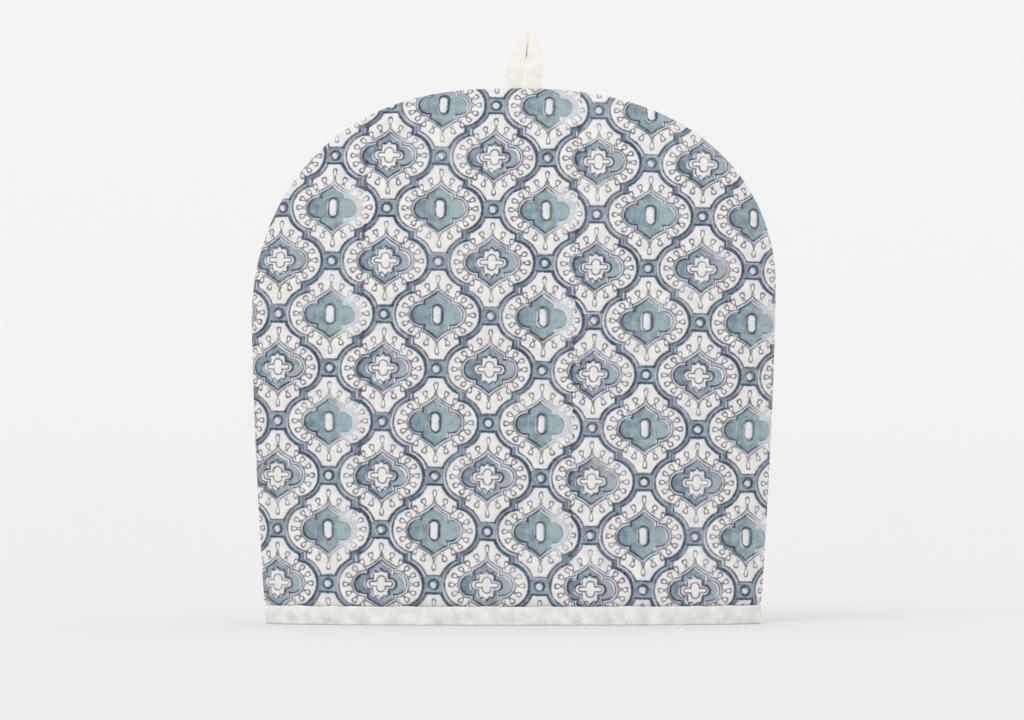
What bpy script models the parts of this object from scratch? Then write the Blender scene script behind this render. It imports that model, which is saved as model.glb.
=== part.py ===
"""Tea cosy of block-printed cotton, standing hollow on its bound hem.

Two dome-shaped wadded panels are sewn together up both sides and over the top, a folded white band
binds the mouth, and a white cotton loop is caught in the seam at the top of the dome.

Frame: origin on the ground under the middle of the mouth, +Z up, the front panel faces -Y.
Every size is in metres.
"""
import math

import bmesh
import bpy
import numpy as np

MM = 0.001

# Driving sizes of the cosy
HEIGHT = 306.5 * MM             # hem to the top of the dome
HALF_WIDTH = 150 * MM           # at the widest, a little above half height
HEM_TAPER = 8.5 * MM            # how much narrower each side is at the hem
HEM_TILT = 0.5 * MM             # less than that on the left edge, more on the right
TAPER_POWER = 3.0               # how late the sides draw in towards the hem
SHOULDER = 185 * MM             # height at which the dome starts
SHOULDER_TILT = 10 * MM         # lower than that on the left edge, higher on the right
ACROSS_POWER = 2.5              # with both powers 2 the dome would be an ellipse,
RISE_POWER = 2.0                # and more makes its shoulders squarer
HALF_DEPTH = 42 * MM            # how far each panel stands out at the hem
DEPTH_LOSS = 0.34               # share of that depth lost by the top of the dome
CROWN_POWER = 0.68              # 0.5 would be an oval section, more is a slimmer leaf
WALL = 3.5 * MM                 # printed cotton, wadding and inner cloth together
GAP = 0.35 * MM                 # clearance between one piece and the next

# Seam between the two panels
SEAM_TURN = [                   # how far each outer edge turns back from the seam, by height
    dict(z=0 * MM, turn=1.95 * MM),
    dict(z=11.7 * MM, turn=1.92 * MM),
    dict(z=14.7 * MM, turn=1.72 * MM),
    dict(z=19.7 * MM, turn=1.33 * MM),
    dict(z=108 * MM, turn=1.44 * MM),
    dict(z=217 * MM, turn=1.68 * MM),
    dict(z=257 * MM, turn=1.77 * MM),
    dict(z=287 * MM, turn=1.82 * MM),
]
LOOP_PARTING = 0.8 * MM         # how far each panel gives way for the loop
PARTING_REACH = 26 * MM         # along the seam from the middle

# Hem band
BAND_HEIGHT = 10.7 * MM
BAND_CLOTH = 1.5 * MM
BAND_FOLD = 1.1 * MM            # rounding where the band folds under
BAND_EASE = 0.6 * MM            # slack between the panels and the band's inner half
BAND_INNER_DROP = 1.0 * MM      # the inner edge ends this much lower than the outer
STEP_RISE = 3.0 * MM            # height over which the panel swells out above the band

# Hanging loop
LOOP_RISE = 33 * MM             # tip above the dome
LOOP_ROOT = 8 * MM              # caught below the dome's top
LOOP_CLOTH = 1.2 * MM
LOOP_HALF_WIDTH = 10.3 * MM     # outer edge of each leg at the base
LOOP_SLIT = 0.5 * MM            # half the slit between the legs
LOOP_LEAN = 3.3 * MM            # the tip stands this far right of the middle
LOOP_POINT = 3.6                # how late the legs draw in towards the tip
LOOP_POINT_ROUND = 0.8          # 1 would be a sharp tip, less is rounder
LOOP_CROTCH = 19 * MM           # height of the slit's closed end
LOOP_CROTCH_ROUND = 6           # how late the slit closes towards that end
LOOP_BULGE = 1.6 * MM           # how far the legs stand forward of the seam
LOOP_BULGE_RISE = 12 * MM       # above the dome, where they have come that far
LOOP_CROWN = 0.35               # share of the bulge by which each leg is rounded across
LOOP_FOLD = 2.4 * MM            # how far the strap turns back at its fold
LOOP_FOLD_REACH = 0.1           # share of the strap's half length that the fold takes
LOOP_MIDDLE = 6 * MM            # the loop sits this far right of the cosy's middle

# Mesh density and accuracy
TANGENT_STEP = 0.5 * MM
HALVINGS = 40
SEARCH_REACH = 1.2              # the seam is looked for as far out as this many half-widths
BAND_COLUMNS = 26
PANEL_COLUMNS = 13              # from the seam to the panel's middle line
BODY_ROWS = 10
DOME_STEPS = 30                 # along the seam from one shoulder to the other
LOOP_STEPS = 22
LOOP_STRIPS = 4

DENT_FADE = 3                   # dents fade out where the fullness is under a third

# Soft dents and swellings of a panel: middle, reach each way, and depth (minus swells outwards)
DENTS_FRONT = [
    dict(x=-92 * MM, z=85 * MM, reach_x=34 * MM, reach_z=62 * MM, depth=1.6 * MM),
    dict(x=104 * MM, z=51 * MM, reach_x=26 * MM, reach_z=40 * MM, depth=1.5 * MM),
    dict(x=28 * MM, z=194 * MM, reach_x=60 * MM, reach_z=34 * MM, depth=-1.2 * MM),
    dict(x=58 * MM, z=117 * MM, reach_x=22 * MM, reach_z=70 * MM, depth=1.1 * MM),
    dict(x=-36 * MM, z=41 * MM, reach_x=44 * MM, reach_z=24 * MM, depth=-1.1 * MM),
]
DENTS_BACK = [
    dict(x=-70 * MM, z=63 * MM, reach_x=40 * MM, reach_z=46 * MM, depth=1.5 * MM),
    dict(x=84 * MM, z=126 * MM, reach_x=28 * MM, reach_z=70 * MM, depth=1.4 * MM),
    dict(x=-10 * MM, z=188 * MM, reach_x=70 * MM, reach_z=36 * MM, depth=-1.2 * MM),
    dict(x=20 * MM, z=69 * MM, reach_x=34 * MM, reach_z=60 * MM, depth=1.0 * MM),
]

FRONT, BACK = -1, 1


def sideways(x):
    """-1 at the left edge, 1 at the right edge, changing smoothly between them."""
    return math.sin(math.pi / 2 * min(max(x / HALF_WIDTH, -1), 1))


def shoulder(x):
    """Height at which the dome starts, lower on the left than on the right."""
    return SHOULDER + SHOULDER_TILT * sideways(x)


def straight_width(x, z):
    """Half-width of the cosy below its dome, drawing in a little towards the hem."""
    fall = max(shoulder(x) - z, 0.0) / shoulder(x)
    return HALF_WIDTH - (HEM_TAPER + HEM_TILT * sideways(x)) * fall ** TAPER_POWER


def fullness(x, z):
    """1 in the middle of a panel, falling to 0 all along its seam."""
    rise = max(z - shoulder(x), 0.0) / (HEIGHT - shoulder(x))
    return 1 - (abs(x) / straight_width(x, z)) ** ACROSS_POWER - rise ** RISE_POWER


def seam_distance(z, angle):
    """Distance to the seam from the middle line at height z; angle 0 is to the right, pi/2 is up."""
    near, far = 0.0, HALF_WIDTH * SEARCH_REACH
    for _ in range(HALVINGS):
        middle = (near + far) / 2
        if fullness(middle * math.cos(angle), z + middle * math.sin(angle)) > 0:
            near = middle
        else:
            far = middle
    return near


def half_width(side, z):
    """Half-width at height z on the left (-1) or right (1)."""
    return seam_distance(z, 0 if side > 0 else math.pi)


def seam_offset(x, z):
    """Distance of a panel's outer edge from the seam's plane, wider where the loop is caught."""
    turn = np.interp(z, [row["z"] for row in SEAM_TURN], [row["turn"] for row in SEAM_TURN])
    along = math.hypot(x - LOOP_MIDDLE, z - HEIGHT) / PARTING_REACH
    return GAP / 2 + turn + LOOP_PARTING * math.exp(-along ** 4)


def dent_depth(x, z, dents):
    """Inward depth of all the soft dents at one place, fading out towards the seam and the hem."""
    total = sum(d["depth"] * math.exp(-((x - d["x"]) / d["reach_x"]) ** 2
                                      - ((z - d["z"]) / d["reach_z"]) ** 2) for d in dents)
    above_hem = min(max((z - 2 * BAND_HEIGHT) / (2 * BAND_HEIGHT), 0), 1)
    return total * min(max(fullness(x, z), 0.0) * DENT_FADE, 1.0) * above_hem


def depth_at(x, z, dents):
    """How far the outer face stands from the seam's plane."""
    full = max(fullness(x, z), 0.0)
    crown = HALF_DEPTH * (1 - DEPTH_LOSS * z / HEIGHT) * full ** CROWN_POWER
    return seam_offset(x, z) + crown - dent_depth(x, z, dents)


def inset_at(z):
    """How far the panel lies inside the outline: under the band it makes room for the band's cloth."""
    under = BAND_CLOTH + GAP
    rise = min(max((z - BAND_HEIGHT - GAP) / STEP_RISE, 0.0), 1.0)
    return under * (1 - rise) ** 2


def plan_point(across, z, side, dents, inset=0.0):
    """Point of the outline at height z; across runs from -1 at the left seam to 1 at the right seam."""
    x = across * half_width(math.copysign(1, across), z)
    y = depth_at(x, z, dents)
    if inset == 0:
        return x, side * y
    # The outline's tangent, from two near points, gives the way straight into the cosy
    x_low = max(x - TANGENT_STEP, -half_width(-1, z))
    x_high = min(x + TANGENT_STEP, half_width(1, z))
    slope = (depth_at(x_high, z, dents) - depth_at(x_low, z, dents)) / (x_high - x_low)
    length = math.hypot(slope, 1)
    return x + inset * slope / length, side * max(y - inset / length, BAND_CLOTH / 2)


def seam_stations():
    """Stations along a panel's seam, from the left end of the hem over the dome to the right end.

    Each is a height on the panel's middle line and the angle from there to the seam.
    """
    foot = BAND_CLOTH + 2 * GAP
    edge = BAND_HEIGHT + GAP
    low = [foot, (foot + edge) / 2, edge, edge + STEP_RISE]
    body = np.linspace(edge + 3 * STEP_RISE, SHOULDER, BODY_ROWS).tolist()
    left = [(z, math.pi) for z in low + body]
    over = [(SHOULDER, math.pi * (1 - step / DOME_STEPS)) for step in range(1, DOME_STEPS)]
    right = [(z, 0.0) for z in reversed(low + body)]
    return left + over + right


def new_object(name, mesh, collection, material):
    """Put a mesh in the model as one named object with its own material."""
    item = bpy.data.objects.new(name, mesh)
    collection.objects.link(item)
    mesh.materials.append(material)
    return item


def mapped_sheet(name, columns, rows, place, closed=False):
    """An open sheet: a flat grid whose points are moved to place(u, v), with u and v from 0 to 1."""
    mesh = bpy.data.meshes.new(name)
    bm = bmesh.new()
    bmesh.ops.create_grid(bm, x_segments=columns, y_segments=rows, size=0.5)
    for vert in bm.verts:
        vert.co = place(vert.co.x + 0.5, vert.co.y + 0.5)
    if closed:
        bmesh.ops.remove_doubles(bm, verts=bm.verts, dist=0.01 * MM)
    bm.to_mesh(mesh)
    bm.free()
    mesh.shade_smooth()
    return mesh


def thicken(item, thickness, even):
    """Give an open sheet its thickness on the side away from its outer face."""
    solid = item.modifiers.new("thickness", "SOLIDIFY")
    solid.thickness = thickness
    solid.offset = -1
    solid.use_even_offset = even
    solid.use_rim = True


def make_panel(name, side, dents, collection, material):
    """One wadded panel, drawn in under the band at its foot and rounded over to the seam."""
    stations = seam_stations()

    def place(u, v):
        station = round(v * (len(stations) - 1))
        z, angle = stations[station if side == FRONT else -1 - station]
        share = math.cos(math.pi / 2 * u)
        if z < SHOULDER:
            x, y = plan_point(share * math.cos(angle), z, side, dents, inset_at(z))
            return x, y, z
        out = share * seam_distance(z, angle)
        x = out * math.cos(angle)
        z += out * math.sin(angle)
        return x, side * depth_at(x, z, dents), z

    mesh = mapped_sheet(name, PANEL_COLUMNS, len(stations) - 1, place, closed=True)
    item = new_object(name, mesh, collection, material)
    thicken(item, WALL, even=True)
    return item


def band_profile():
    """Outer face of the folded band as (inset, height) points, from its inner edge to its outer."""
    across = 2 * BAND_CLOTH + 2 * GAP + WALL + BAND_EASE
    return [
        (across, BAND_HEIGHT - BAND_INNER_DROP),
        (across, BAND_HEIGHT / 2),
        (across, BAND_FOLD),
        (across - BAND_FOLD, 0),
        (BAND_FOLD, 0),
        (0, BAND_FOLD),
        (0, BAND_HEIGHT / 2),
        (0, BAND_HEIGHT),
    ]


def make_band(collection, material):
    """The hem band: one strip folded up both faces of the panels, all round the mouth."""
    profile = band_profile()
    places = [-math.cos(math.pi * column / BAND_COLUMNS) for column in range(BAND_COLUMNS + 1)]
    route = [(FRONT, across) for across in places] + [(BACK, across) for across in reversed(places)]
    route.append(route[0])

    def place(u, v):
        inset, z = profile[round(v * (len(profile) - 1))]
        side, across = route[round(u * (len(route) - 1))]
        x, y = plan_point(across, z, side, [], inset)
        return x, y, z

    mesh = mapped_sheet("hem_band", len(route) - 1, len(profile) - 1, place, closed=True)
    item = new_object("hem_band", mesh, collection, material)
    thicken(item, BAND_CLOTH, even=False)
    return item


def loop_edges(turn):
    """Inner and outer edge of the strap, as (x, z) from the loop's foot; turn runs -1 to 1."""
    side = -1 if turn < 0 else 1
    climb = 1 - abs(turn)
    outer_z = -LOOP_ROOT + (LOOP_ROOT + LOOP_RISE) * math.sin(math.pi / 2 * climb)
    share = max(outer_z, 0) / LOOP_RISE
    narrowing = (1 - share ** LOOP_POINT) ** LOOP_POINT_ROUND
    outer_x = side * LOOP_HALF_WIDTH * narrowing + LOOP_LEAN * share ** 2
    inner_z = -LOOP_ROOT + (LOOP_ROOT + LOOP_CROTCH) * climb
    slit = LOOP_SLIT * (1 - climb ** LOOP_CROTCH_ROUND)
    inner_x = side * slit + LOOP_LEAN * (climb * LOOP_CROTCH / LOOP_RISE) ** 2
    return (inner_x, inner_z), (outer_x, outer_z)


def make_loop(collection, material):
    """The hanging loop: a strap folded back on itself, both ends caught side by side in the seam."""
    def place(u, v):
        turn = 2 * u - 1
        inner, outer = loop_edges(turn)
        x = inner[0] + (outer[0] - inner[0]) * v
        z = inner[1] + (outer[1] - inner[1]) * v
        above = min(max(z / LOOP_BULGE_RISE, 0.0), 1.0)
        forward = LOOP_BULGE * (1 - LOOP_CROWN * (1 - math.sin(math.pi * v)))
        back = LOOP_FOLD * math.exp(-(turn / LOOP_FOLD_REACH) ** 2) * (1 - v / 2)
        y = -LOOP_CLOTH / 2 - above * (forward - back)
        return x + LOOP_MIDDLE, y, z + HEIGHT

    mesh = mapped_sheet("hanging_loop", LOOP_STEPS, LOOP_STRIPS, place)
    item = new_object("hanging_loop", mesh, collection, material)
    thicken(item, LOOP_CLOTH, even=False)
    return item


def make_material(name, colour, roughness):
    """A plain cloth material."""
    material = bpy.data.materials.new(name)
    material.use_nodes = True
    shader = material.node_tree.nodes["Principled BSDF"]
    shader.inputs["Base Color"].default_value = (*colour, 1)
    shader.inputs["Roughness"].default_value = roughness
    shader.inputs["Metallic"].default_value = 0
    material.diffuse_color = (*colour, 1)
    return material


def build():
    """Clear the scene and make the four pieces."""
    for item in list(bpy.data.objects):
        bpy.data.objects.remove(item)
    collection = bpy.data.collections.new("tea_cosy")
    bpy.context.scene.collection.children.link(collection)

    make_panel("front_panel", FRONT, DENTS_FRONT, collection,
               make_material("printed_cotton_front", (0.40, 0.44, 0.47), 0.9))
    make_panel("back_panel", BACK, DENTS_BACK, collection,
               make_material("printed_cotton_back", (0.38, 0.43, 0.46), 0.9))
    make_band(collection, make_material("white_binding", (0.78, 0.77, 0.73), 0.85))
    make_loop(collection, make_material("white_strap", (0.86, 0.84, 0.79), 0.85))


build()
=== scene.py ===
"""Looks of a block-printed tea cosy that stands on its bound hem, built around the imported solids.

Two wadded panels of printed cotton, a folded white binding round the mouth and a white hanging loop
replace the plain solids. Sizes are in metres; the print's own sizes are in millimetres.
"""

import logging
import math
from collections.abc import Sequence
from dataclasses import dataclass
from enum import Enum

import bmesh
import bpy
import numpy as np
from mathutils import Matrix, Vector


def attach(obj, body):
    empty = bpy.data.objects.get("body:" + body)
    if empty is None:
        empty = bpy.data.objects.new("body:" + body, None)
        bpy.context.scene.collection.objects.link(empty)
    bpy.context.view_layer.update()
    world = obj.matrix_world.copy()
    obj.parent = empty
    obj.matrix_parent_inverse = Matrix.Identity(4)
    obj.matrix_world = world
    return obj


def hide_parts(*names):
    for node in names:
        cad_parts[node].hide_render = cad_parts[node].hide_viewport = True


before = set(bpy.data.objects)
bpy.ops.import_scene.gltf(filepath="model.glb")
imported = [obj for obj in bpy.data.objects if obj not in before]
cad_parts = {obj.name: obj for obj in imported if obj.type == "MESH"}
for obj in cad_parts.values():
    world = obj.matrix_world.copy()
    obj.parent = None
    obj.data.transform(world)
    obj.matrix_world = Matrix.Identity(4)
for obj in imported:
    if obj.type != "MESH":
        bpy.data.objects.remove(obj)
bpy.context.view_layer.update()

MM = 0.001
BODY = "root"
PRINT_PLACE = "print_place"
SHARP_TURN = math.radians(55)

log = logging.getLogger("tea_cosy")


class Side(Enum):
    """Which face of the cosy a panel makes; the value is the sign of its depth."""

    FRONT = -1
    BACK = 1


def srgb(red: float, green: float, blue: float) -> tuple[float, float, float, float]:
    """A colour as a shader wants it, from the 0 to 255 values that a screen shows."""
    def linear(value: float) -> float:
        share = value / 255
        return share / 12.92 if share <= 0.04045 else ((share + 0.055) / 1.055) ** 2.4

    return linear(red), linear(green), linear(blue), 1.0


def smooth_step(share: np.ndarray) -> np.ndarray:
    """0 below 0, 1 above 1, and a soft rise between them."""
    t = np.clip(share, 0, 1)
    return t * t * (3 - 2 * t)


def bell(offset: np.ndarray) -> np.ndarray:
    """1 in the middle, falling softly to 0 a few units away."""
    return np.exp(-offset * offset)


@dataclass(frozen=True)
class Dent:
    """A soft hollow in a panel, or a swelling where its depth is negative."""

    x: float
    z: float
    reach_x: float
    reach_z: float
    depth: float

    def at(self, x: np.ndarray, z: np.ndarray) -> np.ndarray:
        """Inward depth of the hollow at the given places."""
        return self.depth * bell(np.hypot((x - self.x) / self.reach_x, (z - self.z) / self.reach_z))


@dataclass(frozen=True)
class Crease:
    """A long soft trough pressed into the cloth, between two points of the panel."""

    start: tuple[float, float]
    end: tuple[float, float]
    width: float
    depth: float

    def at(self, x: np.ndarray, z: np.ndarray) -> np.ndarray:
        """Inward depth of the trough at the given places, fading out at both ends."""
        along = Vector(self.end) - Vector(self.start)
        length = along.length
        along.normalize()
        run = (x - self.start[0]) * along.x + (z - self.start[1]) * along.y
        off = (z - self.start[1]) * along.x - (x - self.start[0]) * along.y
        ends = smooth_step(run / (length / 4)) * smooth_step((length - run) / (length / 4))
        return self.depth * bell(off / self.width) * ends


@dataclass(frozen=True)
class CosyForm:
    """Outline and section of the cosy, from the same driving sizes as its solids."""

    height: float = 306.5 * MM
    widest: float = 150 * MM
    hem_taper: float = 8.5 * MM
    hem_tilt: float = 0.5 * MM
    taper_power: float = 1.5
    shoulder_height: float = 185 * MM
    shoulder_tilt: float = 10 * MM
    across_power: float = 2.5
    rise_power: float = 2.0
    half_depth: float = 42 * MM
    depth_loss: float = 0.34
    crown_power: float = 0.68
    wall: float = 3.5 * MM
    gap: float = 0.35 * MM
    hem_turn: float = 1.95 * MM
    seam_turn: float = 1.45 * MM
    closed_seam: float = 0.25 * MM
    seam_blend: float = 0.13
    loop_parting: float = 0.8 * MM
    parting_reach: float = 26 * MM
    band_height: float = 10.7 * MM
    band_cloth: float = 1.5 * MM
    step_rise: float = 3.0 * MM
    dent_fade: float = 3.0
    loop_middle: float = 6 * MM
    search_reach: float = 1.2
    halvings: int = 40

    def sideways(self, x: np.ndarray) -> np.ndarray:
        """-1 at the left edge, 1 at the right edge, changing smoothly between them."""
        return np.sin(math.pi / 2 * np.clip(x / self.widest, -1, 1))

    def shoulder(self, x: np.ndarray) -> np.ndarray:
        """Height at which the dome starts, lower on the left than on the right."""
        return self.shoulder_height + self.shoulder_tilt * self.sideways(x)

    def straight_width(self, x: np.ndarray, z: np.ndarray) -> np.ndarray:
        """Half-width of the cosy below its dome, drawing in a little towards the hem."""
        fall = np.maximum(self.shoulder(x) - z, 0) / self.shoulder(x)
        return self.widest - (self.hem_taper + self.hem_tilt * self.sideways(x)) * fall ** self.taper_power

    def fullness(self, x: np.ndarray, z: np.ndarray) -> np.ndarray:
        """1 in the middle of a panel, falling to 0 all along its seam."""
        rise = np.maximum(z - self.shoulder(x), 0) / (self.height - self.shoulder(x))
        across = np.abs(x) / self.straight_width(x, z)
        return 1 - across ** self.across_power - rise ** self.rise_power

    def seam_distance(self, z: np.ndarray, angle: np.ndarray) -> np.ndarray:
        """Distance to the seam from the middle line at height z; angle 0 is right, pi/2 is up."""
        near = np.zeros_like(z)
        far = np.full_like(z, self.search_reach * self.widest)
        for _ in range(self.halvings):
            middle = (near + far) / 2
            inside = self.fullness(middle * np.cos(angle), z + middle * np.sin(angle)) > 0
            near = np.where(inside, middle, near)
            far = np.where(inside, far, middle)
        return near

    def parting(self, x: np.ndarray, z: np.ndarray) -> np.ndarray:
        """How far a panel gives way where the hanging loop is caught in the seam."""
        along = np.hypot(x - self.loop_middle, z - self.height) / self.parting_reach
        return self.loop_parting * np.exp(-along ** 4)

    def inset_at(self, z: np.ndarray) -> np.ndarray:
        """How far a panel lies inside the outline, to make room for the binding's cloth."""
        rise = np.clip((z - self.band_height - self.gap) / self.step_rise, 0, 1)
        return (self.band_cloth + self.gap) * (1 - rise) ** 2

    def crown(self, x: np.ndarray, z: np.ndarray) -> np.ndarray:
        """How far a plump, undented panel stands out from its own edge."""
        full = np.maximum(self.fullness(x, z), 0)
        return self.half_depth * (1 - self.depth_loss * z / self.height) * full ** self.crown_power

    def band_depth(self, x: np.ndarray, z: np.ndarray) -> np.ndarray:
        """How far the binding's outer face stands from the seam's plane."""
        return self.gap / 2 + self.hem_turn + self.crown(x, z)

    def panel_depth(self, x: np.ndarray, z: np.ndarray) -> np.ndarray:
        """How far a panel's face stands from the seam's plane, closing in to a tight seam."""
        full = np.maximum(self.fullness(x, z), 0)
        opening = self.gap / 2 + self.seam_turn - self.closed_seam
        turn = self.closed_seam + opening * smooth_step(full / self.seam_blend)
        return turn + self.parting(x, z) + self.crown(x, z)

    def dent_share(self, x: np.ndarray, z: np.ndarray) -> np.ndarray:
        """Share of each dent that shows, fading out towards the seam and the hem."""
        above_hem = np.clip((z - 2 * self.band_height) / (2 * self.band_height), 0, 1)
        return np.clip(np.maximum(self.fullness(x, z), 0) * self.dent_fade, 0, 1) * above_hem


def sewn_shell(
    name: str,
    outer: np.ndarray,
    inner: np.ndarray,
    place: np.ndarray | None = None,
    weld: float = 0.01 * MM,
) -> bpy.types.Mesh:
    """Close an outer and an inner sheet of cloth into one shell, joined all along their open edges.

    Args:
        name: the mesh's name.
        outer: points of the outer face, rows by columns by 3.
        inner: points of the inner face, laid out in the same way.
        place: where each point lies on the printed cloth, in millimetres, or None.
        weld: points closer than this become one.

    Returns:
        The closed mesh, its inner faces in the second material slot.
    """
    rows, columns = outer.shape[:2]
    bm = bmesh.new()
    layer = bm.verts.layers.float_vector.new(PRINT_PLACE)
    bmesh.ops.create_grid(bm, x_segments=columns - 1, y_segments=rows - 1, size=0.5)
    facing = list(bm.verts)
    grown = bmesh.ops.extrude_face_region(bm, geom=list(bm.faces), use_keep_orig=True)
    lining = [part for part in grown["geom"] if isinstance(part, bmesh.types.BMVert)]
    for part in grown["geom"]:
        if isinstance(part, bmesh.types.BMFace):
            part.material_index = 1
    for verts, points in ((facing, outer), (lining, inner)):
        for vert in verts:
            column = round((vert.co.x + 0.5) * (columns - 1))
            row = round((vert.co.y + 0.5) * (rows - 1))
            vert.co = points[row, column]
            if place is not None:
                vert[layer] = (*place[row, column], 0)
    bmesh.ops.remove_doubles(bm, verts=bm.verts, dist=weld)
    inside = [face for face in bm.faces if sum(len(edge.link_faces) > 2 for edge in face.edges) > 1]
    bmesh.ops.delete(bm, geom=inside, context="FACES")
    bmesh.ops.delete(bm, geom=[edge for edge in bm.edges if not edge.link_faces], context="EDGES")
    bmesh.ops.recalc_face_normals(bm, faces=bm.faces)
    mesh = bpy.data.meshes.new(name)
    bm.to_mesh(mesh)
    bm.free()
    mesh.shade_smooth()
    mesh.set_sharp_from_angle(angle=SHARP_TURN)
    return mesh


def cloth_piece(name: str, mesh: bpy.types.Mesh, node: str) -> bpy.types.Object:
    """Put a mesh in the scene as the piece that stands for one solid."""
    piece = bpy.data.objects.new(name, mesh)
    bpy.context.scene.collection.objects.link(piece)
    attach(piece, BODY)
    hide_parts(node)
    return piece


def mesh_area(mesh: bpy.types.Mesh) -> float:
    """Area of all the mesh's faces."""
    return sum(face.area for face in mesh.polygons)


@dataclass(frozen=True)
class ClothWave:
    """One long ripple of the cloth: its wavelength, the way it runs, its height and its start."""

    length: float
    heading: float
    height: float
    phase: float


@dataclass
class PrintedPanel:
    """One wadded panel of printed cotton, from the hem up over the dome."""

    form: CosyForm
    side: Side
    dents: Sequence[Dent]
    creases: Sequence[Crease]
    phase: float
    cut_shift: tuple[float, float] = (0.0, 0.0)
    flat: tuple[float, float] = (0.318, 0.313)
    flat_area: float = 0.0875
    side_rows: int = 84
    dome_rows: int = 132
    columns: int = 78
    even_share: float = 0.3
    seam_cloth: float = 0.8 * MM
    wadding_starts: float = 10 * MM
    print_easing: float = 0.3
    pucker_height: float = 0.32 * MM
    pucker_lengths: tuple[float, ...] = (13.5 * MM, 18.2 * MM, 26.7 * MM)
    pucker_middle: float = 6.0 * MM
    pucker_reach: float = 4.5 * MM
    pucker_starts: float = 2 * MM
    waves: tuple[ClothWave, ...] = (
        ClothWave(61 * MM, 0.5, 0.35 * MM, 0.4),
        ClothWave(47 * MM, 2.1, 0.3 * MM, 2.2),
        ClothWave(83 * MM, 1.2, 0.4 * MM, 4.0),
        ClothWave(34 * MM, 2.8, 0.2 * MM, 5.1),
        ClothWave(23 * MM, 0.1, 0.1 * MM, 1.3),
    )
    slope_step: float = 0.4 * MM

    def build(self) -> bpy.types.Mesh:
        """The panel's closed mesh: printed face, rim at the seam and plain inner face."""
        base_z, angle, out = self.stations()
        share = self.shares()
        far = share[None, :] * out[:, None]
        x = far * np.cos(angle)[:, None]
        z = base_z[:, None] + far * np.sin(angle)[:, None]
        from_seam = out[:, None] - far
        along = np.concatenate([[0], np.cumsum(np.hypot(*np.diff([x[:, 0], z[:, 0]], axis=1)))])

        slope_x, slope_z = self.slopes(x, z)
        length = np.sqrt(slope_x ** 2 + slope_z ** 2 + 1)
        normal = np.stack([-slope_x, np.ones_like(x), -slope_z], axis=-1) / length[..., None]

        depth = self.depth(x, z) + self.puckers(along[:, None], from_seam, z)
        flat_normal = normal.copy()
        flat_normal[..., 2] = 0
        inset = self.form.inset_at(z)[..., None] * flat_normal
        outer = np.stack([x, depth, z], axis=-1) - inset
        least = self.form.closed_seam + self.form.parting(x, z)
        under_band = self.form.inset_at(z) / (self.form.band_cloth + self.form.gap)
        least = least + (self.form.band_cloth / 2 - self.form.closed_seam) * under_band
        outer[..., 1] = np.maximum(outer[..., 1], least)

        filled = smooth_step(from_seam / self.wadding_starts)
        wall = self.seam_cloth + (self.form.wall - self.seam_cloth) * filled
        inner = outer - wall[..., None] * normal
        inner[..., 2] = np.where(z < self.form.shoulder_height / 4, outer[..., 2], inner[..., 2])
        inner[..., 1] = np.maximum(inner[..., 1], least - 0.1 * MM)

        place = self.print_places(x, z, depth, angle, base_z)
        outer[..., 1] *= self.side.value
        inner[..., 1] *= self.side.value
        return sewn_shell(self.name(), outer, inner, place)

    def name(self) -> str:
        """The piece's name."""
        return f"cosy_{self.side.name.lower()}_panel"

    def stations(self) -> tuple[np.ndarray, np.ndarray, np.ndarray]:
        """Stations along the seam: the height and angle each is seen from, and its distance."""
        form = self.form
        foot = form.band_cloth + 2 * form.gap
        rows = foot + (form.shoulder_height - foot) * np.linspace(0, 1, self.side_rows)
        over = np.linspace(math.pi, 0, self.dome_rows + 1)[1:-1]
        base_z = np.concatenate([rows, np.full(len(over), form.shoulder_height), rows[::-1]])
        angle = np.concatenate([np.full(len(rows), math.pi), over, np.zeros(len(rows))])
        return base_z, angle, form.seam_distance(base_z, angle)

    def shares(self) -> np.ndarray:
        """Shares of the way out from the middle line, from 1 at the seam to 0, closer at the seam."""
        u = np.linspace(0, 1, self.columns)
        return (1 - self.even_share) * np.cos(math.pi / 2 * u) + self.even_share * (1 - u)

    def depth(self, x: np.ndarray, z: np.ndarray) -> np.ndarray:
        """Depth of the printed face, with its dents, creases and long soft waves."""
        sunk = sum(dent.at(x, z) for dent in self.dents) + sum(crease.at(x, z) for crease in self.creases)
        wavy = sum(
            wave.height * np.sin((x * math.cos(wave.heading) + z * math.sin(wave.heading))
                                 * 2 * math.pi / wave.length + wave.phase + self.phase)
            for wave in self.waves
        )
        return self.form.panel_depth(x, z) - (sunk + wavy) * self.form.dent_share(x, z)

    def slopes(self, x: np.ndarray, z: np.ndarray) -> tuple[np.ndarray, np.ndarray]:
        """How fast the face's depth changes across and up the panel."""
        step = self.slope_step
        across = (self.depth(x + step, z) - self.depth(x - step, z)) / (2 * step)
        up = (self.depth(x, z + step) - self.depth(x, z - step)) / (2 * step)
        return across, up

    def puckers(self, along: np.ndarray, from_seam: np.ndarray, z: np.ndarray) -> np.ndarray:
        """Small gathers where the wadding meets the seam, strongest a little way in from it."""
        gather = sum(np.sin(2 * math.pi * along / length + self.phase * number)
                     for number, length in enumerate(self.pucker_lengths, start=1))
        above_band = np.clip((z - 2 * self.form.band_height) / self.form.band_height, 0, 1)
        near_seam = bell((from_seam - self.pucker_middle) / self.pucker_reach)
        near_seam = near_seam * smooth_step(from_seam / self.pucker_starts)
        return self.pucker_height * gather / 2 * near_seam * above_band

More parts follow.
